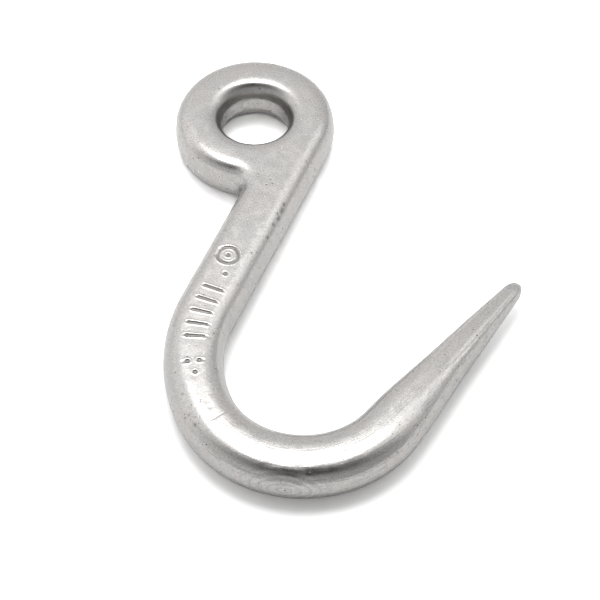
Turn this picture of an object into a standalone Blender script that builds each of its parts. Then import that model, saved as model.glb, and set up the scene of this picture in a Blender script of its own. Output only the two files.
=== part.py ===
"""Forged eye hook for hanging meat: one closed-die forging lying flat, +Z up.

The hook is drawn in plan around the eye.  The shank runs along -Y, tangent to the
right side of the eye, sweeps through a wide back bend into the bowl, and ends in a
straight tapered point.  Both halves of the forging mirror each other in the parting
plane: each side rises from the parting line over a rounded shoulder to a flat land.
Lengths below are millimetres; the mesh itself is in metres.
"""

import math

import bmesh
import bpy

MM = 0.001

# Driving dimensions, millimetres and degrees
FORGING_THICKNESS = 16.0
EYE_OUTER_RADIUS = 27.2
BORE_RADIUS = 11.5
SHANK_OFFSET = 17.8          # shank centreline, measured sideways from the eye centre
SHANK_LENGTH = 80.0          # straight stretch, measured from the eye centre
BACK_BEND_RADIUS = 52.0
BACK_BEND_ANGLE = 47.0
BOWL_RADIUS = 33.5
BOWL_ANGLE = 119.0
POINT_LENGTH = 73.5
TIP_CAP_LENGTH = 5.2         # rounded end of the point
NOTCH_FILLET_RADIUS = 5.0    # in plan, where the eye meets the shank

# Half widths in plan: over the whole bar, and over the flat land on top of it
SHANK_HALF_WIDTH = 9.7
BACK_HALF_WIDTH = 9.4
BOWL_HALF_WIDTH = 9.95
ROOT_HALF_WIDTH = 9.5        # where the bowl ends and the point begins
MID_POINT_HALF_WIDTH = 5.7
TIP_HALF_WIDTH = 2.7
SHANK_LAND = 4.3
BACK_LAND = 1.6
BOWL_LAND = 0.4
ROOT_LAND = 1.2
MID_POINT_LAND = 3.3
TIP_LAND = 1.5

# Half thickness along the point
ROOT_RISE = 7.8
MID_POINT_RISE = 6.0
TIP_RISE = 2.2

# Shoulders: width in plan, and power, where 2 is a true ellipse and higher is squarer
SHANK_SHOULDER = 5.35
SHANK_POWER = 2.3
BOWL_POWER = 2.5
TIP_POWER = 2.2
RING_SHOULDER = 8.0
RING_POWER = 3.5
RING_TURN = 60.0             # angle over which the shank's shoulder becomes the ring's

# The punched bore
BORE_SHOULDER = 6.0
BORE_POWER = 2.8
BORE_EDGE = 22.0             # where the punched wall cuts the bore's shoulder short
BORE_LAND_HALF_HEIGHT = 2.1  # wall left by punching out the web

# Facet counts
SHOULDER_STEPS = 7
BORE_STEPS = 60
FILLET_STEPS = 4
SHANK_STATIONS = 6
BEND_STEP_ANGLE = 6.0
POINT_STATIONS = 9
CAP_ANGLES = (25.0, 45.0, 62.0, 77.0)

# Worked out from the dimensions above
HALF_THICKNESS = FORGING_THICKNESS / 2.0
EYE_HALF_WIDTH = EYE_OUTER_RADIUS - SHANK_OFFSET
SHANK_TOP_LAND = EYE_HALF_WIDTH - SHANK_SHOULDER
BACK_BEND_LENGTH = math.radians(BACK_BEND_ANGLE) * BACK_BEND_RADIUS
BOWL_LENGTH = math.radians(BOWL_ANGLE) * BOWL_RADIUS
BOWL_START = SHANK_LENGTH + BACK_BEND_LENGTH
BOWL_MIDDLE = BOWL_START + BOWL_LENGTH / 2.0
POINT_START = BOWL_START + BOWL_LENGTH
POINT_MIDDLE = POINT_START + POINT_LENGTH / 2.0
TIP = POINT_START + POINT_LENGTH

# (distance along the arm, value) stations that the section follows smoothly
HALF_WIDTHS = (
    (0.0, EYE_HALF_WIDTH),
    (SHANK_LENGTH / 2.0, SHANK_HALF_WIDTH),
    (SHANK_LENGTH, SHANK_HALF_WIDTH),
    (BOWL_START, BACK_HALF_WIDTH),
    (BOWL_MIDDLE, BOWL_HALF_WIDTH),
    (POINT_START, ROOT_HALF_WIDTH),
    (POINT_MIDDLE, MID_POINT_HALF_WIDTH),
    (TIP, TIP_HALF_WIDTH),
)
LANDS = (
    (0.0, SHANK_TOP_LAND),
    (SHANK_LENGTH, SHANK_LAND),
    (BOWL_START, BACK_LAND),
    (BOWL_MIDDLE, BOWL_LAND),
    (POINT_START, ROOT_LAND),
    (POINT_MIDDLE, MID_POINT_LAND),
    (TIP, TIP_LAND),
)
POWERS = (
    (0.0, SHANK_POWER),
    (SHANK_LENGTH, SHANK_POWER),
    (BOWL_MIDDLE, BOWL_POWER),
    (POINT_START, BOWL_POWER),
    (TIP, TIP_POWER),
)
RISES = (
    (0.0, HALF_THICKNESS),
    (BOWL_MIDDLE, HALF_THICKNESS),
    (POINT_START, ROOT_RISE),
    (POINT_MIDDLE, MID_POINT_RISE),
    (TIP, TIP_RISE),
)


def clear_scene():
    """Remove every object that the scene starts with."""
    for obj in list(bpy.data.objects):
        bpy.data.objects.remove(obj, do_unlink=True)


def smooth_value(stations, distance):
    """Read a smooth curve through the stations; it never overshoots them."""
    spans = list(zip(stations[:-1], stations[1:]))
    slopes = [(b[1] - a[1]) / (b[0] - a[0]) for a, b in spans]
    tangents = [slopes[0]]
    for before, after in zip(slopes[:-1], slopes[1:]):
        same_way = before * after > 0.0
        tangents.append(2.0 * before * after / (before + after) if same_way else 0.0)
    tangents.append(slopes[-1])
    for index, (a, b) in enumerate(spans):
        if distance <= b[0]:
            break
    width = b[0] - a[0]
    t = (distance - a[0]) / width
    start = (1.0 + 2.0 * t) * (1.0 - t) ** 2 * a[1]
    end = t * t * (3.0 - 2.0 * t) * b[1]
    leaving = t * (1.0 - t) ** 2 * width * tangents[index]
    arriving = t * t * (t - 1.0) * width * tangents[index + 1]
    return start + end + leaving + arriving


def along_arc(start, heading, radius, distance):
    """Follow a left-hand arc; return the new place and heading."""
    turned = heading + distance / radius
    centre_x = start[0] - radius * math.sin(heading)
    centre_y = start[1] + radius * math.cos(heading)
    place = (centre_x + radius * math.sin(turned), centre_y - radius * math.cos(turned))
    return place, turned


def arm_centre(distance):
    """Place and heading of the arm's centreline, measured from beside the eye centre."""
    heading = math.radians(-90.0)
    if distance <= SHANK_LENGTH:
        return (SHANK_OFFSET, -distance), heading
    shank_end = (SHANK_OFFSET, -SHANK_LENGTH)
    back = min(distance, BOWL_START) - SHANK_LENGTH
    place, heading = along_arc(shank_end, heading, BACK_BEND_RADIUS, back)
    if distance > BOWL_START:
        bowl = min(distance, POINT_START) - BOWL_START
        place, heading = along_arc(place, heading, BOWL_RADIUS, bowl)
    straight = max(0.0, distance - POINT_START)
    place = (place[0] + straight * math.cos(heading), place[1] + straight * math.sin(heading))
    return place, heading


def cap_shrink(distance):
    """Scale of the section inside the rounded end of the point."""
    into_cap = max(0.0, distance - (TIP - TIP_CAP_LENGTH)) / TIP_CAP_LENGTH
    return math.sqrt(max(0.0, 1.0 - into_cap * into_cap))


def arm_profile(distance, side):
    """Base point, land-edge point, rise and power of the arm; side is +1 inner, -1 outer."""
    (x, y), heading = arm_centre(distance)
    shrink = cap_shrink(distance)
    half_width = smooth_value(HALF_WIDTHS, distance) * shrink
    land = smooth_value(LANDS, distance) * shrink
    across = (-side * math.sin(heading), side * math.cos(heading))
    base = (x + half_width * across[0], y + half_width * across[1])
    land_edge = (x + land * across[0], y + land * across[1])
    rise = smooth_value(RISES, distance) * shrink
    return base, land_edge, rise, smooth_value(POWERS, distance)


def eye_profile(angle):
    """The same four values on the outside of the eye."""
    direction = (math.cos(angle), math.sin(angle))
    turn = math.radians(RING_TURN)
    all_round = (math.tau, RING_SHOULDER)
    shoulder = smooth_value(((0.0, SHANK_SHOULDER), (turn, RING_SHOULDER), all_round), angle)
    all_round = (math.tau, RING_POWER)
    power = smooth_value(((0.0, SHANK_POWER), (turn, RING_POWER), all_round), angle)
    land_radius = EYE_OUTER_RADIUS - shoulder
    base = (EYE_OUTER_RADIUS * direction[0], EYE_OUTER_RADIUS * direction[1])
    land_edge = (land_radius * direction[0], land_radius * direction[1])
    return base, land_edge, HALF_THICKNESS, power


def notch_centre():
    """Centre of the fillet that touches both the eye and the outer side of the shank."""
    reach = EYE_OUTER_RADIUS + NOTCH_FILLET_RADIUS
    drop = reach
    for _ in range(6):
        x = SHANK_OFFSET - smooth_value(HALF_WIDTHS, drop) - NOTCH_FILLET_RADIUS
        drop = math.sqrt(reach * reach - x * x)
    return x, -drop


def fillet_profile(centre, angle, share):
    """The same four values on the notch fillet, this share of the way to the shank."""
    shoulder = RING_SHOULDER + (SHANK_SHOULDER - RING_SHOULDER) * share
    power = RING_POWER + (SHANK_POWER - RING_POWER) * share
    direction = (math.cos(angle), math.sin(angle))
    outer = NOTCH_FILLET_RADIUS + shoulder
    base = (
        centre[0] + NOTCH_FILLET_RADIUS * direction[0],
        centre[1] + NOTCH_FILLET_RADIUS * direction[1],
    )
    land_edge = (centre[0] + outer * direction[0], centre[1] + outer * direction[1])
    return base, land_edge, HALF_THICKNESS, power


def shoulder_curve(step, power, start=0.0):
    """Outward and upward share of a shoulder, from its foot to the land."""
    angle = math.radians(start + (90.0 - start) * step / SHOULDER_STEPS)
    outward = max(0.0, math.cos(angle)) ** (2.0 / power)
    upward = math.sin(angle) ** (2.0 / power)
    return outward, upward


def new_vertex(bm, x, y, z):
    return bm.verts.new((x * MM, y * MM, z * MM))


def outside_column(bm, profile):
    """Vertices from the lower land edge, round the parting line, to the upper one."""
    base, land_edge, rise, power = profile
    upper = []
    lower = []
    for step in range(SHOULDER_STEPS + 1):
        outward, upward = shoulder_curve(step, power)
        x = land_edge[0] + (base[0] - land_edge[0]) * outward
        y = land_edge[1] + (base[1] - land_edge[1]) * outward
        upper.append(new_vertex(bm, x, y, rise * upward))
        if step > 0:
            lower.append(new_vertex(bm, x, y, -rise * upward))
    return lower[::-1] + upper


def bore_column(bm, angle):
    """Vertices up the bore: shoulder, punched wall, shoulder."""
    heights = []
    edge_outward, edge_upward = shoulder_curve(0, BORE_POWER, BORE_EDGE)
    shoulder_rise = HALF_THICKNESS - BORE_LAND_HALF_HEIGHT
    for step in range(SHOULDER_STEPS + 1):
        outward, upward = shoulder_curve(step, BORE_POWER, BORE_EDGE)
        radius = BORE_RADIUS + BORE_SHOULDER * (1.0 - outward / edge_outward)
        risen = (upward - edge_upward) / (1.0 - edge_upward)
        heights.append((radius, BORE_LAND_HALF_HEIGHT + shoulder_rise * risen))
    levels = [(r, -z) for r, z in reversed(heights)] + heights
    return [new_vertex(bm, r * math.cos(angle), r * math.sin(angle), z) for r, z in levels]


def add_face(bm, corners):
    """Add a face, leaving out a corner that repeats the one before it."""
    distinct = [v for i, v in enumerate(corners) if v is not corners[i - 1]]
    bm.faces.new(distinct)


def join_columns(bm, first, second):
    """Skin the strip between two neighbouring columns."""
    for level in range(len(first) - 1):
        corners = [first[level], second[level], second[level + 1], first[level + 1]]
        add_face(bm, corners)


def even_steps(start, end, count):
    """Values from just after start up to and including end."""
    return [start + (end - start) * (i + 1) / count for i in range(count)]


def arm_stations(notch_distance):
    """Distances of the arm's sections, from the notch to the start of the cap's apex."""
    back_count = round(BACK_BEND_ANGLE / BEND_STEP_ANGLE)
    bowl_count = round(BOWL_ANGLE / BEND_STEP_ANGLE)
    cap_start = TIP - TIP_CAP_LENGTH
    stations = [notch_distance]
    stations += even_steps(notch_distance, SHANK_LENGTH, SHANK_STATIONS)
    stations += even_steps(SHANK_LENGTH, BOWL_START, back_count)
    stations += even_steps(BOWL_START, POINT_START, bowl_count)
    stations += even_steps(POINT_START, cap_start, POINT_STATIONS)
    stations += [cap_start + TIP_CAP_LENGTH * math.sin(math.radians(a)) for a in CAP_ANGLES]
    return stations


def fill_land(bm, height):
    """Close the flat land round the eye, between its outer edge and the bore's edge."""
    rim = []
    for edge in bm.edges:
        flat = all(abs(v.co.z - height * MM) < 1e-7 for v in edge.verts)
        if flat and edge.is_boundary:
            rim.append(edge)
    bmesh.ops.triangle_fill(bm, use_beauty=True, edges=rim)


def build_forging():
    """Skin the whole hook as one closed body."""
    bm = bmesh.new()
    centre = notch_centre()
    notch_distance = -centre[1]
    stations = arm_stations(notch_distance)

    # Arm: an outer and an inner column at every station, meeting in the tip's apex
    outer = [outside_column(bm, arm_profile(s, -1)) for s in stations]
    inner = [outside_column(bm, arm_profile(s, +1)) for s in stations]
    apex_place, _ = arm_centre(TIP)
    apex = new_vertex(bm, apex_place[0], apex_place[1], 0.0)
    outer.append([apex] * len(outer[0]))
    inner.append([apex] * len(inner[0]))
    for i in range(len(stations)):
        join_columns(bm, outer[i], outer[i + 1])
        join_columns(bm, inner[i + 1], inner[i])
        add_face(bm, [outer[i][-1], outer[i + 1][-1], inner[i + 1][-1], inner[i][-1]])
        add_face(bm, [inner[i][0], inner[i + 1][0], outer[i + 1][0], outer[i][0]])

    # Eye: from the shank's inner side round over the top to the notch, then the fillet
    beside_eye = [notch_distance * (2 - i) / 3.0 for i in range(3)]
    rim = [inner[0]]
    rim += [outside_column(bm, arm_profile(s, +1)) for s in beside_eye]
    tangent_angle = math.atan2(centre[1], centre[0]) + math.tau
    eye_count = round(math.degrees(tangent_angle) / BEND_STEP_ANGLE)
    rim += [outside_column(bm, eye_profile(a)) for a in even_steps(0.0, tangent_angle, eye_count)]
    facing_eye = tangent_angle - math.pi
    for i, angle in enumerate(even_steps(facing_eye, 0.0, FILLET_STEPS)[:-1]):
        share = (i + 1) / FILLET_STEPS
        rim.append(outside_column(bm, fillet_profile(centre, angle, share)))
    rim.append(outer[0])
    for first, second in zip(rim[:-1], rim[1:]):
        join_columns(bm, first, second)

    # Bore
    angles = [math.tau * i / BORE_STEPS for i in range(BORE_STEPS)]
    bore = [bore_column(bm, angle) for angle in angles]
    for i in range(BORE_STEPS):
        join_columns(bm, bore[i], bore[i - 1])

    fill_land(bm, HALF_THICKNESS)
    fill_land(bm, -HALF_THICKNESS)
    bmesh.ops.recalc_face_normals(bm, faces=bm.faces)
    return bm


def rest_on_origin(bm):
    """Move the body so that the middle of its underside is the origin."""
    lows = [min(v.co[axis] for v in bm.verts) for axis in range(3)]
    highs = [max(v.co[axis] for v in bm.verts) for axis in range(3)]
    shift = (-(lows[0] + highs[0]) / 2.0, -(lows[1] + highs[1]) / 2.0, -lows[2])
    bmesh.ops.translate(bm, verts=bm.verts, vec=shift)


def satin_stainless():
    """Tumbled stainless steel."""
    material = bpy.data.materials.new("satin_stainless")
    material.use_nodes = True
    shader = material.node_tree.nodes["Principled BSDF"]
    shader.inputs["Base Color"].default_value = (0.60, 0.59, 0.58, 1.0)
    shader.inputs["Metallic"].default_value = 1.0
    shader.inputs["Roughness"].default_value = 0.36
    return material


def make_hook():
    bm = build_forging()
    rest_on_origin(bm)
    mesh = bpy.data.meshes.new("hook_forging")
    bm.to_mesh(mesh)
    bm.free()
    mesh.shade_smooth()
    mesh.set_sharp_from_angle(angle=math.radians(50.0))
    mesh.materials.append(satin_stainless())
    hook = bpy.data.objects.new("hook_forging", mesh)
    bpy.context.scene.collection.objects.link(hook)
    return hook


clear_scene()
make_hook()
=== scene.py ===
"""Looks for the forged meat hook: a fine skin of the same forging, in satin stainless steel."""

import math
import random

import bpy
import numpy as np
from mathutils import Matrix, Vector, noise


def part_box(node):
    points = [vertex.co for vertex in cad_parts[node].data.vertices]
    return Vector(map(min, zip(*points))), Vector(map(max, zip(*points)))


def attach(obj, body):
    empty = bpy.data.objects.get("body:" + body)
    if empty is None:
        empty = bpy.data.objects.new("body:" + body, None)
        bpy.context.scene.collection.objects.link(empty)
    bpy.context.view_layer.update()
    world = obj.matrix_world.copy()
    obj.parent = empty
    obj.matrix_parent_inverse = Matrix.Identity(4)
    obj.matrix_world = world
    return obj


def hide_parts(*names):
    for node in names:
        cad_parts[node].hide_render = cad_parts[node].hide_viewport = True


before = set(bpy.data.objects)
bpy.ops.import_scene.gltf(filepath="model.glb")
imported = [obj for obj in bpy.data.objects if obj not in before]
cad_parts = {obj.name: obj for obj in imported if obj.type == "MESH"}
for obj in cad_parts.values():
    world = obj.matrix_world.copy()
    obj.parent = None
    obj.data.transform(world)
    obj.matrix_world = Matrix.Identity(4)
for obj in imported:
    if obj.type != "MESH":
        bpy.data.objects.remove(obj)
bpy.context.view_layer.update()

MM = 0.001

# ---------------------------------------------------------------------------
# The forging's driving dimensions, millimetres and degrees, as in the CAD model
# ---------------------------------------------------------------------------
FORGING_THICKNESS = 16.0
EYE_OUTER_RADIUS = 27.2
BORE_RADIUS = 11.5
SHANK_OFFSET = 17.8
SHANK_LENGTH = 80.0
BACK_BEND_RADIUS = 52.0
BACK_BEND_ANGLE = 47.0
BOWL_RADIUS = 33.5
BOWL_ANGLE = 119.0
POINT_LENGTH = 73.5
TIP_CAP_LENGTH = 5.2
NOTCH_FILLET_RADIUS = 5.0
SHANK_SHOULDER = 5.35
SHANK_POWER = 2.3
RING_SHOULDER = 8.0
RING_POWER = 3.5
RING_TURN = 60.0             # angle over which the shank's shoulder becomes the ring's
BORE_SHOULDER = 6.0
BORE_POWER = 2.8
BORE_EDGE = 22.0             # where the punched wall cuts the bore's shoulder short
BORE_LAND_HALF_HEIGHT = 2.1

HALF_THICKNESS = FORGING_THICKNESS / 2.0
EYE_HALF_WIDTH = EYE_OUTER_RADIUS - SHANK_OFFSET
BOWL_START = SHANK_LENGTH + math.radians(BACK_BEND_ANGLE) * BACK_BEND_RADIUS
POINT_START = BOWL_START + math.radians(BOWL_ANGLE) * BOWL_RADIUS
BOWL_MIDDLE = (BOWL_START + POINT_START) / 2.0
POINT_MIDDLE = POINT_START + POINT_LENGTH / 2.0
TIP = POINT_START + POINT_LENGTH

# How the arm's section changes, as (distance along the arm, value): its half width, the half
# width of its flat land, the power of its shoulders and its rise above mid height
HALF_WIDTHS = (
    (0.0, EYE_HALF_WIDTH),
    (SHANK_LENGTH / 2.0, 9.7),
    (SHANK_LENGTH, 9.7),
    (BOWL_START, 9.4),
    (BOWL_MIDDLE, 9.95),
    (POINT_START, 9.5),
    (POINT_MIDDLE, 5.7),
    (TIP, 2.7),
)
LANDS = (
    (0.0, EYE_HALF_WIDTH - SHANK_SHOULDER),
    (SHANK_LENGTH, 4.3),
    (BOWL_START, 1.6),
    (BOWL_MIDDLE, 0.4),
    (POINT_START, 1.2),
    (POINT_MIDDLE, 3.3),
    (TIP, 1.5),
)
POWERS = (
    (0.0, SHANK_POWER),
    (SHANK_LENGTH, SHANK_POWER),
    (BOWL_MIDDLE, 2.5),
    (POINT_START, 2.5),
    (TIP, 2.2),
)
RISES = (
    (0.0, HALF_THICKNESS),
    (BOWL_MIDDLE, HALF_THICKNESS),
    (POINT_START, 7.8),
    (POINT_MIDDLE, 6.0),
    (TIP, 2.2),
)

# Fine detail that the CAD solid leaves out
DRAFT_SLOPE = math.tan(math.radians(2.5))
PARTING_RIDGES = (           # (distance, height of what is left of the trimmed flash)
    (0.0, 0.02),
    (BOWL_MIDDLE, 0.02),
    (BOWL_MIDDLE + 14.0, 0.12),
    (POINT_START, 0.06),
    (POINT_START + 20.0, 0.02),
    (TIP, 0.0),
)
FIRST_BEVELLED = POINT_START - 6.0       # distance from which the arm has bevels
BEVEL_START = 0.30           # where they begin across the arm, as a share of the half width
BEVEL_SOFTNESS = 0.1         # how gently they begin, as a share of their own width
BEVELS = (                   # (distance, share of the rise that the outer bevel takes off)
    (0.0, 0.0),
    (FIRST_BEVELLED, 0.0),
    (POINT_START + 12.0, 0.08),
    (POINT_MIDDLE, 0.17),
    (TIP, 0.19),
)
INNER_BEVEL = 0.35           # the inner bevel, as a share of the outer one

# Stamped and punched marks, which are plain strokes and dots and stand for no maker
MARKS_END = 134.0            # as far as here the arm has a mesh fine enough for them
MARKED_SLOPE = 0.25          # least upward share of a normal where marks are pressed in
MARK_DEPTH = 0.36
MARK_BURR = 0.055            # height of the raised rim round a stroke
BURR_DISTANCE = 0.32
BURR_WIDTH = 0.26
STROKE_HALF_WIDTH = 0.48
STROKE_OVERRUN = 0.12        # how far a stroke's wall starts outside its half width
STROKE_WALL = 0.34
DOT_RADIUS = 0.75
RING_MARK = (61.5, -0.7, 3.4)            # distance along, place across, radius
TALLY = (76.0, 5.1, 5, 0.4, 3.0)         # first distance, pitch, count, place across, half length
DOTS = ((61.5, -0.7), (69.0, 1.6), (106.5, -1.9), (106.5, 1.9), (111.0, 0.0))
SCRATCH = (130.0, 0.6, 3.2)              # distance along, place across, half length
NICKS = (                                # knocks and dark pits: along, across, half length
    (31.0, 6.6, 0.1),
    (33.5, 7.3, 0.4),
    (36.0, 7.6, 0.8),
    (38.2, 7.0, 0.1),
    (39.5, 7.9, 0.6),
    (42.8, 7.5, 0.3),
    (45.5, 4.5, 0.9),
    (48.5, 7.8, 0.2),
    (52.0, -5.8, 0.0),
    (57.5, 5.9, 0.1),
    (72.5, -4.6, 0.0),
    (97.0, 5.2, 0.2),
    (117.5, -5.6, 0.1),
    (121.0, 2.4, 0.0),
    (124.5, -6.6, 0.1),
    (126.2, -5.8, 0.0),
    (128.0, -6.9, 0.2),
    (132.0, -5.2, 0.0),
)
SCRATCH_WIDTH = 0.25
SCRATCH_SHARE = 0.75         # how marked the scratch is beside a nick
NICK_WIDTH = 0.30
NICK_DEPTH = 0.2             # as a share of a stroke's depth
# how dark a nick is painted, for grime and painted shade
NICK_GRIME_AND_SHADE = 1.2
DISH_SHADE = 0.36            # painted shade in the dish round the bore, darkest at the bore's edge
WALL_CLEARANCE = 0.05        # points this near the bore's radius belong to the punched wall

# Waviness of the forging, as (wavelength, amount, seed), and the knocks on it
WAVES = ((26.0, 0.050, 3.0), (11.0, 0.016, 17.0), (4.5, 0.008, 41.0), (2.3, 0.003, 59.0))
DENT_SEED = 7
DENT_COUNT = 70
DENT_RADII = (0.9, 2.2)
DENT_DEPTHS = (0.006, 0.045)
DENT_STEEPNESS = 2.5

# Mesh
NOTCH_ROUNDS = 6             # rounds that settle the place of the notch's fillet
SHARP_ANGLE = 50.0           # an edge that turns more than this stays sharp
LEAST_TURN = 0.15            # least angle between neighbouring columns of the bore
FILLET_STEP = 7.0            # angle between the columns of the notch's fillet
COARSE_STEP = 0.62
FINE_STEP = 0.24             # under the stamped marks
SHOULDER_STEPS = 16
BORE_SHOULDER_STEPS = 12
BORE_LAND_STEPS = 2
CROSS_STEPS = 22
WEB_STEPS = 10
CAP_STEPS = 14

# Steel: its colours, and its layers with their sizes and relief in millimetres.  A range is
# the stretch of a noise over which its layer comes in; noises lie around 0.5, streaks around 0.
COOL_STEEL = (0.509, 0.503, 0.491)
WARM_STEEL = (0.534, 0.509, 0.494)
DULL_STEEL = (0.400, 0.390, 0.380)
# dark oxide, also the colour of the painted shade in the marks, the nicks and the dish round the
# bore
PIT_OXIDE_AND_SHADE = (0.130, 0.120, 0.115)
ROUGHNESS = (0.22, 0.30)
ROUGH_RANGE = (0.30, 0.75)    # of the mottle
DIRT_AND_SHADE_ROUGHNESS = 0.25         # what the dirt and the painted shade add
PATCH_SIZE = 17.0             # warm and cool patches
PATCH_RANGE = (0.25, 0.75)
MOTTLE_SIZE = 3.4
MOTTLE_RANGE = (0.30, 0.80)
MOTTLE_DULLNESS = 0.30
GRAIN_SIZE = 0.50
GRAIN_RANGE = (0.35, 0.72)
GRAIN_DULLNESS = 0.90
GRAIN_HEIGHT = 0.009
PEEL_SIZE = 1.25              # orange peel, which is stronger where the mottle is high
PEEL_RANGE = (0.35, 0.70)     # of the mottle
PEEL_STRENGTH = (0.6, 1.5)
PEEL_HEIGHT = 0.008
WEAR_SIZE = 8.0               # worn places, which are the ones that hold pits
WEAR_RANGE = (0.45, 0.61)
PIT_SPACING = 2.2
PIT_RADIUS = 0.36
PIT_DEPTH = 0.05
DUST_SIZE = 5.0               # places with more specks than others
DUST_RANGE = (0.44, 0.62)
DUST_SHARE = (0.15, 1.0)
SPECK_SPACING = 1.0
SPECK_RADIUS = 0.20
SPECK_DEPTH = 0.012
SPECK_DIRT = 0.7
SPOT_CORE = 0.55              # share of a pit's or a speck's radius that is fully dark
GRIME_AND_SHADE_DARKNESS = 0.7              # grime with painted shade in the marks and the nicks, and painted shade in the dish round the bore
STREAK_LENGTH = 7.0           # finishing streaks along the bowl and the point
STREAK_WIDTH = 0.50
STREAK_HEIGHT = 0.030
STREAK_DIRT = 0.30
STREAK_RANGE = (0.04, 0.20)
STREAKS_START = (95.0, 150.0)  # distances along the arm between which they come in
RIPPLE_PITCH = 1.5            # grinding rings
RIPPLE_REACH = 9.0
RIPPLE_STRETCH = (0.5, 0.5, 1.0)
RIPPLE_HEIGHT = 0.024
RIPPLE_DIRT = 0.22
RIPPLE_RISE = 1.0             # their middle, above mid height
RIPPLE_ALONG = 0.485          # their place along the bowl, as a share of it

# ---------------------------------------------------------------------------
# Camera and set
# ---------------------------------------------------------------------------
CAMERA_AZIMUTH = 22.70
CAMERA_ELEVATION = 51.45
CAMERA_DISTANCE = 0.78346
CAMERA_LENS = 144.0
AIM_FROM_EYE = (43.63, -63.98)   # where the camera looks, millimetres from the eye centre
SENSOR_WIDTH = 36.0
CLIP_START = 0.01

FLOOR_HALF_WIDTH = 3.0
FLOOR_ROUGHNESS = 0.9
FLOOR_ALBEDO = 0.97
FLOOR_WHITENING = 1.42           # the backdrop is overexposed to pure white

# Lights: a place is degrees from overhead, away from the camera and then to the right, and
# the distance in metres; sizes are in metres too
SOFTBOX_PLACE = (15.8, -3.0, 1.6)
SOFTBOX_SIZE = (0.86, 0.77)
SOFTBOX_RADIANCE = 7.0
FILL_PLACE = (-33.0, 0.0, 0.5)   # from the front, to clear the bore's shadow
FILL_SIZE = (0.08, 0.08)
FILL_RADIANCE = 0.38
FILL_SPREAD = 14.0

# Walls: their light, how it grows towards two sides, and four patches of it
WALL_RADIANCE = 0.80
WALL_TOWARDS_BACK = 0.20
WALL_TOWARDS_LEFT = 0.18
# (lean, place to the right, half widths sideways and up and down, softness, share of the light)
BRIGHT_BAND = (14.0, 0.0, (60.0, 14.0), 0.5, 1.5)
RIGHT_GLOW = (28.0, 33.0, (21.0, 12.0), 0.6, 1.85)
LEFT_GLOW = (42.0, -34.0, (24.0, 12.0), 0.6, 1.28)
DARK_STRETCH = (-25.0, 0.0, (36.0, 22.0), 0.7, 0.05)


# ---------------------------------------------------------------------------
# Shape of the forging in plan, in millimetres from the eye centre
# ---------------------------------------------------------------------------
def smooth_value(stations, distance):
    """Read a smooth curve through the stations; it never overshoots them."""
    spans = list(zip(stations[:-1], stations[1:]))
    slopes = [(b[1] - a[1]) / (b[0] - a[0]) for a, b in spans]
    tangents = [slopes[0]]
    for before, after in zip(slopes[:-1], slopes[1:]):
        same_way = before * after > 0.0
        tangents.append(2.0 * before * after / (before + after) if same_way else 0.0)
    tangents.append(slopes[-1])
    for index, (a, b) in enumerate(spans):
        if distance <= b[0]:
            break
    width = b[0] - a[0]
    t = (distance - a[0]) / width
    start = (1.0 + 2.0 * t) * (1.0 - t) ** 2 * a[1]
    end = t * t * (3.0 - 2.0 * t) * b[1]
    leaving = t * (1.0 - t) ** 2 * width * tangents[index]
    arriving = t * t * (t - 1.0) * width * tangents[index + 1]
    return start + end + leaving + arriving


def along_arc(start, heading, radius, distance):
    """Follow a left-hand arc; return the new place and heading."""
    turned = heading + distance / radius
    centre_x = start[0] - radius * math.sin(heading)
    centre_y = start[1] + radius * math.cos(heading)
    place = (centre_x + radius * math.sin(turned), centre_y - radius * math.cos(turned))
    return place, turned


def arm_centre(distance):
    """Place and heading of the arm's centreline."""
    heading = math.radians(-90.0)
    if distance <= SHANK_LENGTH:
        return (SHANK_OFFSET, -distance), heading
    back = min(distance, BOWL_START) - SHANK_LENGTH
    shank_end = (SHANK_OFFSET, -SHANK_LENGTH)
    place, heading = along_arc(shank_end, heading, BACK_BEND_RADIUS, back)
    if distance > BOWL_START:
        bowl = min(distance, POINT_START) - BOWL_START
        place, heading = along_arc(place, heading, BOWL_RADIUS, bowl)
    straight = max(0.0, distance - POINT_START)
    place = (place[0] + straight * math.cos(heading), place[1] + straight * math.sin(heading))
    return place, heading


def cap_shrink(distance):
    """Scale of the section inside the rounded end of the point."""
    into_cap = max(0.0, distance - (TIP - TIP_CAP_LENGTH)) / TIP_CAP_LENGTH
    return math.sqrt(max(0.0, 1.0 - into_cap * into_cap))


def arm_profile(distance, side):
    """Base point, land-edge point, rise and power of the arm; side is +1 inner, -1 outer."""
    (x, y), heading = arm_centre(distance)
    shrink = cap_shrink(distance)
    half_width = smooth_value(HALF_WIDTHS, distance) * shrink
    land = smooth_value(LANDS, distance) * shrink
    across = (-side * math.sin(heading), side * math.cos(heading))
    base = (x + half_width * across[0], y + half_width * across[1])
    land_edge = (x + land * across[0], y + land * across[1])
    rise = smooth_value(RISES, distance) * shrink
    return base, land_edge, rise, smooth_value(POWERS, distance)


def eye_profile(angle):
    """The same four values on the outside of the eye."""
    direction = (math.cos(angle), math.sin(angle))
    turn = math.radians(RING_TURN)
    beyond = (math.tau, RING_SHOULDER)
    shoulder = smooth_value(((0.0, SHANK_SHOULDER), (turn, RING_SHOULDER), beyond), angle)
    beyond = (math.tau, RING_POWER)
    power = smooth_value(((0.0, SHANK_POWER), (turn, RING_POWER), beyond), angle)
    land_radius = EYE_OUTER_RADIUS - shoulder
    base = (EYE_OUTER_RADIUS * direction[0], EYE_OUTER_RADIUS * direction[1])
    land_edge = (land_radius * direction[0], land_radius * direction[1])
    return base, land_edge, HALF_THICKNESS, power


def notch_centre():
    """Centre of the fillet that touches both the eye and the outer side of the shank."""
    reach = EYE_OUTER_RADIUS + NOTCH_FILLET_RADIUS
    drop = reach
    for _ in range(NOTCH_ROUNDS):
        x = SHANK_OFFSET - smooth_value(HALF_WIDTHS, drop) - NOTCH_FILLET_RADIUS
        drop = math.sqrt(reach * reach - x * x)
    return x, -drop


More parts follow.
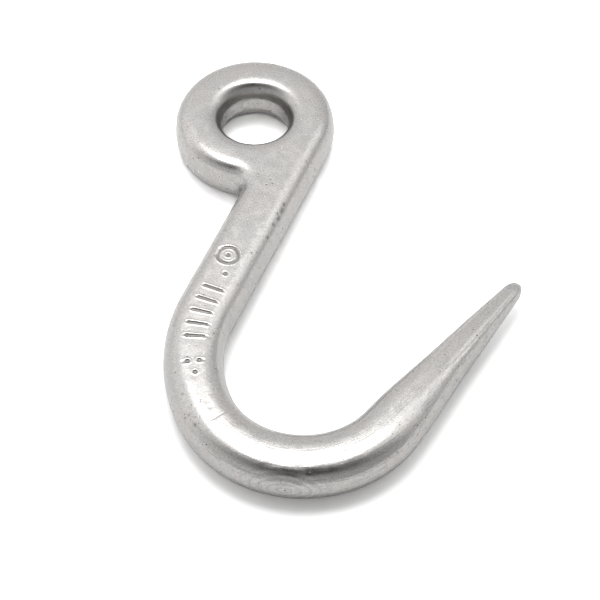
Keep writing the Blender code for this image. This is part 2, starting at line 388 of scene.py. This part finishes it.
def fillet_profile(centre, angle, share):
    """The same four values on the notch fillet, this share of the way to the shank."""
    shoulder = RING_SHOULDER + (SHANK_SHOULDER - RING_SHOULDER) * share
    power = RING_POWER + (SHANK_POWER - RING_POWER) * share
    direction = (math.cos(angle), math.sin(angle))
    outer = NOTCH_FILLET_RADIUS + shoulder
    base = (
        centre[0] + NOTCH_FILLET_RADIUS * direction[0],
        centre[1] + NOTCH_FILLET_RADIUS * direction[1],
    )
    land_edge = (centre[0] + outer * direction[0], centre[1] + outer * direction[1])
    return base, land_edge, HALF_THICKNESS, power


def spread(start, end, step):
    """Evenly spaced values after start, up to and including end, about a step apart."""
    count = max(1, round(abs(end - start) / step))
    return [start + (end - start) * (i + 1) / count for i in range(count)]


def shoulder_shares(steps, power, start=0.0):
    """Outward and upward shares of a shoulder, up to its land; 2 is an ellipse."""
    angles = [math.radians(start + (90.0 - start) * i / steps) for i in range(steps + 1)]
    index = 2.0 / power
    return [(max(0.0, math.cos(a)) ** index, math.sin(a) ** index) for a in angles]


# ---------------------------------------------------------------------------
# Skinning
# ---------------------------------------------------------------------------
def bevelled_share(along, across):
    """Share of the rise left by the bevels on the two sides of the point."""
    if along < FIRST_BEVELLED:
        return 1.0
    place = -across / smooth_value(HALF_WIDTHS, along)
    taken = 0.0
    for side, share in ((1.0, 1.0), (-1.0, INNER_BEVEL)):
        into = (side * place - BEVEL_START) / (1.0 - BEVEL_START)
        taken += share * 0.5 * (into + math.hypot(into, BEVEL_SOFTNESS))
    return 1.0 - smooth_value(BEVELS, along) * taken


class Skin:
    """Vertices and faces of the hook, and where each vertex lies along and across the arm.

    A vertex of the eye, which is not on the arm, has -1 for its place along it.
    """

    def __init__(self):
        self.points = []
        self.faces = []
        self.along = []
        self.across = []

    def add(self, x, y, z, along=-1.0, across=0.0):
        self.points.append((x, y, z))
        self.along.append(along)
        self.across.append(across)
        return len(self.points) - 1

    def face(self, corners):
        """Add a face, leaving out a corner that repeats the one before it."""
        distinct = [v for i, v in enumerate(corners) if v != corners[i - 1]]
        if len(distinct) > 2:
            self.faces.append(distinct)

    def strip(self, first, second):
        """Skin the strip between two neighbouring rows of vertices."""
        for level in range(len(first) - 1):
            self.face([first[level], second[level], second[level + 1], first[level + 1]])

    def outside_column(self, profile, along=-1.0, side=1.0):
        """A column from the lower land edge, round the parting line, to the upper one."""
        base, land_edge, rise, power = profile
        reach = math.dist(base, land_edge)
        outward_x = (base[0] - land_edge[0]) / reach
        outward_y = (base[1] - land_edge[1]) / reach
        land = smooth_value(LANDS, max(0.0, along))
        upper = []
        lower = []
        for step, (outward, upward) in enumerate(shoulder_shares(SHOULDER_STEPS, power)):
            height = rise * upward
            offset = reach * outward + DRAFT_SLOPE * (rise / 2.0 - height)
            if step == 0:
                offset += smooth_value(PARTING_RIDGES, max(0.0, along))
            x = land_edge[0] + outward_x * offset
            y = land_edge[1] + outward_y * offset
            across = side * (land + offset)
            height *= bevelled_share(along, across)
            upper.append(self.add(x, y, height, along, across))
            if step > 0:
                lower.append(self.add(x, y, -height, along, across))
        return lower[::-1] + upper

    def bore_column(self, angle):
        """A column up the bore: shoulder, punched land, shoulder."""
        heights = []
        for i in range(BORE_LAND_STEPS + 1):
            heights.append((BORE_RADIUS, BORE_LAND_HALF_HEIGHT * i / BORE_LAND_STEPS))
        shares = shoulder_shares(BORE_SHOULDER_STEPS, BORE_POWER, BORE_EDGE)
        edge_outward, edge_upward = shares[0]
        shoulder_rise = HALF_THICKNESS - BORE_LAND_HALF_HEIGHT
        for outward, upward in shares[1:]:
            radius = BORE_RADIUS + BORE_SHOULDER * (1.0 - outward / edge_outward)
            risen = (upward - edge_upward) / (1.0 - edge_upward)
            heights.append((radius, BORE_LAND_HALF_HEIGHT + shoulder_rise * risen))
        levels = [(r, -z) for r, z in reversed(heights[1:])] + heights
        return [self.add(r * math.cos(angle), r * math.sin(angle), z) for r, z in levels]

    def row_between(self, start, end, count, along=-1.0):
        """Vertices from start to end, both of which exist, with count spans between them."""
        a = self.points[start]
        b = self.points[end]
        level = math.copysign(max(abs(a[2]), abs(b[2])), a[2])
        row = [start]
        for i in range(1, count):
            t = i / count
            across = self.across[start] + (self.across[end] - self.across[start]) * t
            height = level * bevelled_share(along, across)
            x = a[0] + (b[0] - a[0]) * t
            y = a[1] + (b[1] - a[1]) * t
            row.append(self.add(x, y, height, along, across))
        return row + [end]


def arm_distances(notch_distance):
    """Distances of the arm's sections, closer together under the stamped marks."""
    cap_start = TIP - TIP_CAP_LENGTH
    distances = [notch_distance]
    distances += spread(notch_distance, MARKS_END, FINE_STEP)
    distances += spread(MARKS_END, POINT_START, COARSE_STEP)
    distances += spread(POINT_START, cap_start, COARSE_STEP)
    for i in range(1, CAP_STEPS):
        angle = math.radians(90.0) * i / CAP_STEPS
        distances.append(cap_start + TIP_CAP_LENGTH * math.sin(angle))
    return distances


def skin_arm(skin, distances):
    """Shank, bowl and point; returns the first outer and inner columns and land rows."""
    outer = [skin.outside_column(arm_profile(s, -1), s, -1.0) for s in distances]
    inner = [skin.outside_column(arm_profile(s, +1), s, +1.0) for s in distances]
    top = []
    bottom = []
    for s, left, right in zip(distances, outer, inner):
        top.append(skin.row_between(left[-1], right[-1], CROSS_STEPS, s))
        bottom.append(skin.row_between(left[0], right[0], CROSS_STEPS, s))
    place, _ = arm_centre(TIP)
    apex = skin.add(place[0], place[1], 0.0, TIP)
    outer.append([apex] * len(outer[0]))
    inner.append([apex] * len(inner[0]))
    top.append([apex] * len(top[0]))
    bottom.append([apex] * len(bottom[0]))
    for i in range(len(distances)):
        skin.strip(outer[i], outer[i + 1])
        skin.strip(inner[i + 1], inner[i])
        skin.strip(top[i], top[i + 1])
        skin.strip(bottom[i + 1], bottom[i])
    return outer[0], inner[0], top[0], bottom[0]


def rising_angles(points):
    """Angle of each point seen from the eye centre, made to rise steadily."""
    angles = [math.atan2(y, x) for x, y, _ in points]
    least = math.radians(LEAST_TURN)
    for i in range(1, len(angles)):
        while angles[i] < angles[i - 1] - math.pi:
            angles[i] += math.tau
        angles[i] = max(angles[i], angles[i - 1] + least)
    return angles


def skin_eye(skin, centre, first_outer, first_inner, top_row, bottom_row):
    """The eye, its bore and the flat web between them and the shank."""
    notch_distance = -centre[1]
    rim = [first_inner]
    for s in spread(notch_distance, 0.0, COARSE_STEP)[:-1]:
        rim.append(skin.outside_column(arm_profile(s, +1)))
    tangent_angle = math.atan2(centre[1], centre[0]) + math.tau
    angle_step = COARSE_STEP / EYE_OUTER_RADIUS
    for angle in [0.0] + spread(0.0, tangent_angle, angle_step):
        rim.append(skin.outside_column(eye_profile(angle)))
    facing_eye = tangent_angle - math.pi
    fillet_angles = spread(facing_eye, 0.0, math.radians(FILLET_STEP))
    for i, angle in enumerate(fillet_angles[:-1]):
        share = (i + 1) / len(fillet_angles)
        rim.append(skin.outside_column(fillet_profile(centre, angle, share)))
    rim.append(first_outer)
    for first, second in zip(rim[:-1], rim[1:]):
        skin.strip(first, second)

    # Land edges, closed across the shank, and one bore column facing each of their points
    upper_edge = [column[-1] for column in rim] + top_row[1:-1]
    lower_edge = [column[0] for column in rim] + bottom_row[1:-1]
    angles = rising_angles([skin.points[v] for v in upper_edge])
    bore = [skin.bore_column(angle) for angle in angles]
    upper = []
    lower = []
    for i, column in enumerate(bore):
        upper.append(skin.row_between(column[-1], upper_edge[i], WEB_STEPS))
        lower.append(skin.row_between(column[0], lower_edge[i], WEB_STEPS))
    for i in range(len(bore)):
        skin.strip(bore[i], bore[i - 1])
        skin.strip(upper[i], upper[i - 1])
        skin.strip(lower[i - 1], lower[i])


# ---------------------------------------------------------------------------
# Surface detail, pushed along the vertex normals
# ---------------------------------------------------------------------------
def forging_unevenness(points):
    """Gentle waviness that die forging and tumbling leave, in millimetres."""
    heights = np.zeros(len(points))
    for wavelength, amount, seed in WAVES:
        for i, (x, y, z) in enumerate(points):
            place = Vector((x / wavelength + seed, y / wavelength, z / wavelength))
            heights[i] += amount * noise.noise(place)
    return heights


def dents(points):
    """Shallow knocks from tumbling against other parts, scattered over the whole hook."""
    draw = random.Random(DENT_SEED)
    places = np.array(points)
    push = np.zeros(len(points))
    for _ in range(DENT_COUNT):
        centre = places[draw.randrange(len(points))]
        radius = draw.uniform(*DENT_RADII)
        distance = np.linalg.norm(places - centre, axis=1) / radius
        push -= draw.uniform(*DENT_DEPTHS) * np.exp(-DENT_STEEPNESS * distance ** 2)
    return push


def stroke_distance(along, across, centre, half_length):
    """Distance from each vertex to a straight stroke that lies across the arm."""
    sideways = np.maximum(np.abs(across - centre[1]) - half_length, 0.0)
    return np.hypot(along - centre[0], sideways)


def stamped_marks(along, across):
    """How deep each vertex lies in a mark, how far on its raised rim and how dark it is painted for
    grime and shade, 0 to 1.
    """
    ring_along, ring_across, ring_radius = RING_MARK
    from_centre = np.hypot(along - ring_along, across - ring_across)
    strokes = [(np.abs(from_centre - ring_radius), STROKE_HALF_WIDTH)]
    first, pitch, count, place, half_length = TALLY
    for i in range(count):
        bar = stroke_distance(along, across, (first + pitch * i, place), half_length)
        strokes.append((bar, STROKE_HALF_WIDTH))
    for dot in DOTS:
        strokes.append((stroke_distance(along, across, dot, 0.0), DOT_RADIUS))
    scratch = stroke_distance(along, across, SCRATCH[:2], SCRATCH[2])
    knocked = SCRATCH_SHARE * np.exp(-((scratch / SCRATCH_WIDTH) ** 2))
    for nick_along, nick_across, half_length in NICKS:
        past_end = np.maximum(np.abs(along - nick_along) - half_length, 0.0)
        nick = np.hypot(past_end, across - nick_across)
        knocked = np.maximum(knocked, np.exp(-((nick / NICK_WIDTH) ** 2)))
    depth = NICK_DEPTH * knocked
    rim = np.zeros(len(along))
    for distance, half_width in strokes:
        inside = np.clip((half_width + STROKE_OVERRUN - distance) / STROKE_WALL, 0.0, 1.0)
        depth = np.maximum(depth, inside * inside * (3.0 - 2.0 * inside))
        from_rim = (distance - half_width - BURR_DISTANCE) / BURR_WIDTH
        rim = np.maximum(rim, np.exp(-(from_rim ** 2)))
    return depth, rim, np.maximum(depth, NICK_GRIME_AND_SHADE * knocked)


def add_detail(mesh, skin):
    """Move the vertices along their normals by the surface detail."""
    count = len(mesh.vertices)
    places = np.empty(count * 3)
    normals = np.empty(count * 3)
    mesh.vertices.foreach_get("co", places)
    mesh.vertices.foreach_get("normal", normals)
    places = places.reshape(-1, 3)
    normals = normals.reshape(-1, 3)
    push = forging_unevenness(skin.points) + dents(skin.points)
    along = np.array(skin.along)
    across = np.array(skin.across)
    on_top = (along > 0.0) & (along < MARKS_END) & (normals[:, 2] > MARKED_SLOPE)
    # grime with painted shade in the marks and nicks, which darkens the colour
    depth, rim, dirt_and_shade = stamped_marks(along[on_top], across[on_top])
    push[on_top] += MARK_BURR * rim - MARK_DEPTH * depth
    grime_and_shade = np.zeros(count)
    grime_and_shade[on_top] = dirt_and_shade
    # painted shade: the dish round the bore is darkened in the colour, most near the bore's edge
    into_dish = np.hypot(*np.array(skin.points)[:, :2].T) - BORE_RADIUS
    in_dish = (into_dish > WALL_CLEARANCE) & (into_dish < BORE_SHOULDER)
    grime_and_shade[in_dish] = DISH_SHADE * (1.0 - into_dish[in_dish] / BORE_SHOULDER)
    # the first attribute holds grime with painted shade in the marks and nicks, and painted shade in
    # the dish round the bore
    for name, values in (("grime_and_shade", grime_and_shade), ("along", along), ("across", across)):
        mesh.attributes.new(name, "FLOAT", "POINT").data.foreach_set("value", values)
    floor_level = places[:, 2].min()
    places += normals * (push * MM)[:, None]
    places[:, 2] = np.maximum(places[:, 2], floor_level)
    mesh.vertices.foreach_set("co", places.ravel())
    mesh.update()


def build_hook():
    """The whole skin as one object in the frame's own coordinates."""
    skin = Skin()
    centre = notch_centre()
    first_rows = skin_arm(skin, arm_distances(-centre[1]))
    skin_eye(skin, centre, *first_rows)
    low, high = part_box("hook_forging")
    eye_x = low[0] + EYE_OUTER_RADIUS * MM
    eye_y = high[1] - EYE_OUTER_RADIUS * MM
    middle = (low[2] + high[2]) / 2.0
    vertices = [(x * MM + eye_x, y * MM + eye_y, z * MM + middle) for x, y, z in skin.points]
    mesh = bpy.data.meshes.new("hook")
    mesh.from_pydata(vertices, [], skin.faces)
    mesh.validate()
    mesh.shade_smooth()
    add_detail(mesh, skin)
    mesh.set_sharp_from_angle(angle=math.radians(SHARP_ANGLE))
    hook = bpy.data.objects.new("hook", mesh)
    bpy.context.scene.collection.objects.link(hook)
    return hook, (eye_x, eye_y, middle)


# ---------------------------------------------------------------------------
# Materials
# ---------------------------------------------------------------------------
def math_node(nodes, operation, *values):
    """A maths node whose inputs are numbers or sockets; returns its output."""
    node = nodes.new("ShaderNodeMath")
    node.operation = operation
    for socket, value in zip(node.inputs, values):
        if isinstance(value, (int, float)):
            socket.default_value = value
        else:
            node.id_data.links.new(value, socket)
    return node.outputs["Value"]


def remap(nodes, value, source, target):
    """A socket whose value moves smoothly from one target to the other over the source range."""
    node = nodes.new("ShaderNodeMapRange")
    node.interpolation_type = "SMOOTHSTEP"
    node.id_data.links.new(value, node.inputs["Value"])
    node.inputs["From Min"].default_value, node.inputs["From Max"].default_value = source
    node.inputs["To Min"].default_value, node.inputs["To Max"].default_value = target
    return node.outputs["Result"]


def noise_node(nodes, place, wavelength, detail=2.0, distortion=0.0):
    """Noise of about this wavelength in millimetres, around 0.5."""
    node = nodes.new("ShaderNodeTexNoise")
    node.inputs["Scale"].default_value = 1.0 / wavelength
    node.inputs["Detail"].default_value = detail
    node.inputs["Distortion"].default_value = distortion
    node.id_data.links.new(place, node.inputs["Vector"])
    return node.outputs["Fac"]


def speck_node(nodes, place, spacing, radius, shown):
    """Small round specks about this far apart, where the shown socket lets them be, 0 to 1."""
    node = nodes.new("ShaderNodeTexVoronoi")
    node.inputs["Scale"].default_value = 1.0 / spacing
    node.id_data.links.new(place, node.inputs["Vector"])
    size = radius / spacing
    spot = remap(nodes, node.outputs["Distance"], (SPOT_CORE * size, size), (1.0, 0.0))
    return math_node(nodes, "MULTIPLY", spot, shown)


def mix_colour(nodes, share, first, second):
    """Mix of two colours, each a tuple or a socket, by a share socket."""
    node = nodes.new("ShaderNodeMix")
    node.data_type = "RGBA"
    node.id_data.links.new(share, node.inputs["Factor"])
    for socket, value in ((node.inputs[6], first), (node.inputs[7], second)):
        if isinstance(value, tuple):
            socket.default_value = (*value, 1.0)
        else:
            node.id_data.links.new(value, socket)
    return node.outputs[2]


def grinding_rings(nodes, place, centre):
    """Faint oval rings left by a grinding wheel on the bowl's outer side, -1 to 1."""
    away = nodes.new("ShaderNodeVectorMath")
    away.operation = "SUBTRACT"
    away.inputs[1].default_value = centre
    nodes.id_data.links.new(place, away.inputs[0])
    stretched = nodes.new("ShaderNodeVectorMath")
    stretched.operation = "MULTIPLY"
    stretched.inputs[1].default_value = RIPPLE_STRETCH
    nodes.id_data.links.new(away.outputs[0], stretched.inputs[0])
    length = nodes.new("ShaderNodeVectorMath")
    length.operation = "LENGTH"
    nodes.id_data.links.new(stretched.outputs[0], length.inputs[0])
    distance = length.outputs["Value"]
    wave = math_node(nodes, "SINE", math_node(nodes, "MULTIPLY", distance, math.tau / RIPPLE_PITCH))
    fade = remap(nodes, distance, (0.5 * RIPPLE_REACH, RIPPLE_REACH), (1.0, 0.0))
    return math_node(nodes, "MULTIPLY", wave, fade)


def read_attribute(nodes, name):
    """A number stored at each vertex."""
    node = nodes.new("ShaderNodeAttribute")
    node.attribute_name = name
    return node.outputs["Fac"]


def finishing_streaks(nodes, place):
    """Fine streaks that follow the bowl and the point, around 0."""
    along = read_attribute(nodes, "along")
    across = read_attribute(nodes, "across")
    height = along_axis(nodes, place, (0.0, 0.0, 1.0))
    stretched = nodes.new("ShaderNodeCombineXYZ")
    lengths = (STREAK_LENGTH, STREAK_WIDTH, STREAK_WIDTH)
    for socket, value, length in zip(stretched.inputs, (along, across, height), lengths):
        nodes.id_data.links.new(math_node(nodes, "DIVIDE", value, length), socket)
    streaks = noise_node(nodes, stretched.outputs["Vector"], 1.0)
    shown = remap(nodes, along, STREAKS_START, (0.0, 1.0))
    return math_node(nodes, "MULTIPLY", math_node(nodes, "SUBTRACT", streaks, 0.5), shown)


def millimetre_place(nodes):
    """Place on the hook in millimetres."""
    scaled = nodes.new("ShaderNodeVectorMath")
    scaled.operation = "SCALE"
    scaled.inputs["Scale"].default_value = 1.0 / MM
    coordinates = nodes.new("ShaderNodeTexCoord").outputs["Object"]
    nodes.id_data.links.new(coordinates, scaled.inputs[0])
    return scaled.outputs["Vector"]


def steel_layers(nodes, rings_middle):
    """The patterns that colour, gloss and relief share, by name."""
    place = millimetre_place(nodes)
    wear = noise_node(nodes, place, WEAR_SIZE, detail=3.0, distortion=0.5)
    worn = remap(nodes, wear, WEAR_RANGE, (0.0, 1.0))
    dust = remap(nodes, noise_node(nodes, place, DUST_SIZE), DUST_RANGE, DUST_SHARE)
    return {
        "patches": noise_node(nodes, place, PATCH_SIZE, distortion=0.6),
        "mottle": noise_node(nodes, place, MOTTLE_SIZE, detail=4.0, distortion=0.4),
        "grain": noise_node(nodes, place, GRAIN_SIZE, detail=1.0),
        "peel": noise_node(nodes, place, PEEL_SIZE, detail=1.0),
        "pits": speck_node(nodes, place, PIT_SPACING, PIT_RADIUS, worn),
        "specks": speck_node(nodes, place, SPECK_SPACING, SPECK_RADIUS, dust),
        "rings": grinding_rings(nodes, place, rings_middle),
        "streaks": finishing_streaks(nodes, place),
        "grime_and_shade": read_attribute(nodes, "grime_and_shade"),
    }


def steel_dirt_and_shade(nodes, layers):
    """How dark the steel is painted: pits, specks, the grooves of the rings and streaks, grime with
    painted shade in the marks and nicks, and painted shade in the dish round the bore.
    """
    dirt_and_shade = layers["pits"]
    for name, share in (("specks", SPECK_DIRT), ("grime_and_shade", GRIME_AND_SHADE_DARKNESS), ("rings", -RIPPLE_DIRT)):
        layer = math_node(nodes, "MULTIPLY", layers[name], share)
        dirt_and_shade = math_node(nodes, "MAXIMUM", dirt_and_shade, layer)
    streaks = remap(nodes, layers["streaks"], STREAK_RANGE, (0.0, STREAK_DIRT))
    return math_node(nodes, "MAXIMUM", dirt_and_shade, streaks)


def steel_colour(nodes, layers, dirt_and_shade):
    """Cool and warm patches, dulled by mottle and grain, with dark oxide colour in the dirty places
    and the painted shade.
    """
    warmth = remap(nodes, layers["patches"], PATCH_RANGE, (0.0, 1.0))
    colour = mix_colour(nodes, warmth, COOL_STEEL, WARM_STEEL)
    mottled = remap(nodes, layers["mottle"], MOTTLE_RANGE, (0.0, MOTTLE_DULLNESS))
    colour = mix_colour(nodes, mottled, colour, DULL_STEEL)
    grained = remap(nodes, layers["grain"], GRAIN_RANGE, (0.0, GRAIN_DULLNESS))
    colour = mix_colour(nodes, grained, colour, DULL_STEEL)
    return mix_colour(nodes, dirt_and_shade, colour, PIT_OXIDE_AND_SHADE)


def steel_relief(nodes, layers):
    """Normal of the steel's fine relief."""
    strength = remap(nodes, layers["mottle"], PEEL_RANGE, PEEL_STRENGTH)
    peel = math_node(nodes, "MULTIPLY", layers["peel"], PEEL_HEIGHT)
    height = math_node(nodes, "MULTIPLY", peel, strength)
    reliefs = (
        ("grain", GRAIN_HEIGHT),
        ("pits", -PIT_DEPTH),
        ("specks", -SPECK_DEPTH),
        ("rings", RIPPLE_HEIGHT),
        ("streaks", STREAK_HEIGHT),
    )
    for name, amount in reliefs:
        layer = math_node(nodes, "MULTIPLY", layers[name], amount)
        height = math_node(nodes, "ADD", height, layer)
    bump = nodes.new("ShaderNodeBump")
    bump.inputs["Distance"].default_value = MM
    nodes.id_data.links.new(height, bump.inputs["Height"])
    return bump.outputs["Normal"]


def satin_stainless(rings_middle):
    """Tumbled stainless steel with a satin finish."""
    material = bpy.data.materials.new("satin_stainless")
    material.use_nodes = True
    nodes = material.node_tree.nodes
    links = material.node_tree.links
    shader = nodes["Principled BSDF"]
    shader.inputs["Metallic"].default_value = 1.0
    layers = steel_layers(nodes, rings_middle)
    dirt_and_shade = steel_dirt_and_shade(nodes, layers)
    links.new(steel_colour(nodes, layers, dirt_and_shade), shader.inputs["Base Color"])
    gloss = remap(nodes, layers["mottle"], ROUGH_RANGE, ROUGHNESS)
    roughened = math_node(nodes, "MULTIPLY", dirt_and_shade, DIRT_AND_SHADE_ROUGHNESS)
    links.new(math_node(nodes, "ADD", gloss, roughened), shader.inputs["Roughness"])
    links.new(steel_relief(nodes, layers), shader.inputs["Normal"])
    return material


def pale_floor():
    """Matt white paper, which the camera sees brighter than the hook does."""
    material = bpy.data.materials.new("pale_floor")
    material.use_nodes = True
    nodes = material.node_tree.nodes
    shader = nodes["Principled BSDF"]
    shader.inputs["Roughness"].default_value = FLOOR_ROUGHNESS
    shader.inputs["Specular IOR Level"].default_value = 0.0
    seen = nodes.new("ShaderNodeLightPath").outputs["Is Camera Ray"]
    paper = remap(nodes, seen, (0.0, 1.0), (FLOOR_ALBEDO, FLOOR_ALBEDO * FLOOR_WHITENING))
    material.node_tree.links.new(paper, shader.inputs["Base Color"])
    return material


# ---------------------------------------------------------------------------
# Set, camera and light
# ---------------------------------------------------------------------------
def add_floor():
    """Wide sheet of white paper under the hook, as part of the set."""
    mesh = bpy.data.meshes.new("floor")
    half = FLOOR_HALF_WIDTH
    corners = [(-half, -half, 0.0), (half, -half, 0.0), (half, half, 0.0), (-half, half, 0.0)]
    mesh.from_pydata(corners, [], [(0, 1, 2, 3)])
    mesh.materials.append(pale_floor())
    floor = bpy.data.objects.new("floor", mesh)
    bpy.context.scene.collection.objects.link(floor)


def view_axes():
    """Level direction away from the camera, and the one to its right."""
    angle = math.radians(CAMERA_AZIMUTH)
    away = Vector((-math.sin(angle), math.cos(angle), 0.0))
    right = Vector((math.cos(angle), math.sin(angle), 0.0))
    return away, right


def add_camera(eye):
    """Camera above and in front of the hook; returns the place it looks at."""
    aim = Vector((eye[0] + AIM_FROM_EYE[0] * MM, eye[1] + AIM_FROM_EYE[1] * MM, eye[2]))
    away, _ = view_axes()
    rise = math.radians(CAMERA_ELEVATION)
    back = away * -math.cos(rise) + Vector((0.0, 0.0, math.sin(rise)))
    data = bpy.data.cameras.new("camera")
    data.lens = CAMERA_LENS
    data.sensor_width = SENSOR_WIDTH
    data.clip_start = CLIP_START
    camera = bpy.data.objects.new("camera", data)
    camera.location = aim + back * CAMERA_DISTANCE
    camera.rotation_euler = (-back).to_track_quat("-Z", "Y").to_euler()
    bpy.context.scene.collection.objects.link(camera)
    bpy.context.scene.camera = camera
    return aim


def add_softbox(name, aim, lean, sideways, distance, size, radiance):
    """Oval soft light that faces the aim."""
    away, level_right = view_axes()
    lean = math.radians(lean)
    sideways = math.radians(sideways)
    upright = away * math.sin(lean) + Vector((0.0, 0.0, math.cos(lean)))
    direction = upright * math.cos(sideways) + level_right * math.sin(sideways)
    right = level_right * math.cos(sideways) - upright * math.sin(sideways)
    data = bpy.data.lights.new(name, "AREA")
    data.shape = "ELLIPSE"
    data.size, data.size_y = size
    data.energy = radiance * math.pi ** 2 / 4.0 * data.size * data.size_y
    light = bpy.data.objects.new(name, data)
    light.location = aim + direction * distance
    light.rotation_euler = Matrix((right, direction.cross(right), direction)).transposed().to_euler()
    bpy.context.scene.collection.objects.link(light)
    return light


def along_axis(nodes, vector, axis):
    """How far a vector socket points along an axis."""
    node = nodes.new("ShaderNodeVectorMath")
    node.operation = "DOT_PRODUCT"
    node.inputs[1].default_value = axis
    node.id_data.links.new(vector, node.inputs[0])
    return node.outputs["Value"]


def add_patch(nodes, direction, lean, sideways, half_widths, softness, share):
    """An oval of the sky, this far from overhead and to the right, where the light is scaled."""
    away, right = view_axes()
    tilt = math.radians(lean)
    upright = away * math.cos(tilt) - Vector((0.0, 0.0, math.sin(tilt)))
    across = along_axis(nodes, direction, right / math.sin(math.radians(half_widths[0])))
    offset = math.sin(math.radians(sideways)) / math.sin(math.radians(half_widths[0]))
    across = math_node(nodes, "SUBTRACT", across, offset)
    along = along_axis(nodes, direction, upright / math.sin(math.radians(half_widths[1])))
    across = math_node(nodes, "MULTIPLY", across, across)
    along = math_node(nodes, "MULTIPLY", along, along)
    outward = math_node(nodes, "SQRT", math_node(nodes, "ADD", across, along))
    return remap(nodes, outward, (1.0 - softness, 1.0 + softness), (share, 1.0))


def add_world():
    """A pale studio, paler to the left and beyond, with brighter patches and a dark one."""
    world = bpy.data.worlds.new("studio")
    world.use_nodes = True
    nodes = world.node_tree.nodes
    away, right = view_axes()
    direction = nodes.new("ShaderNodeTexCoord").outputs["Generated"]
    slope = along_axis(nodes, direction, away * WALL_TOWARDS_BACK - right * WALL_TOWARDS_LEFT)
    light = math_node(nodes, "ADD", slope, WALL_RADIANCE)
    for patch in (BRIGHT_BAND, RIGHT_GLOW, LEFT_GLOW, DARK_STRETCH):
        light = math_node(nodes, "MULTIPLY", light, add_patch(nodes, direction, *patch))
    background = nodes["Background"]
    background.inputs["Color"].default_value = (1.0, 1.0, 1.0, 1.0)
    world.node_tree.links.new(light, background.inputs["Strength"])
    bpy.context.scene.world = world


def ripple_centre(eye):
    """Middle of the grinding rings on the bowl's outer side, in millimetres."""
    distance = BOWL_START + (POINT_START - BOWL_START) * RIPPLE_ALONG
    base, _, _, _ = arm_profile(distance, -1)
    return (base[0] + eye[0] / MM, base[1] + eye[1] / MM, eye[2] / MM + RIPPLE_RISE)


scene = bpy.context.scene
scene.view_settings.view_transform = "Standard"

hook, eye_place = build_hook()
hook.data.materials.append(satin_stainless(ripple_centre(eye_place)))
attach(hook, "root")
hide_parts("hook_forging")

add_floor()
aim_place = add_camera(eye_place)
add_softbox("softbox", aim_place, *SOFTBOX_PLACE, SOFTBOX_SIZE, SOFTBOX_RADIANCE)
bore_fill = add_softbox("bore_fill", Vector(eye_place), *FILL_PLACE, FILL_SIZE, FILL_RADIANCE)
bore_fill.data.spread = math.radians(FILL_SPREAD)
bore_fill.visible_glossy = False
add_world()
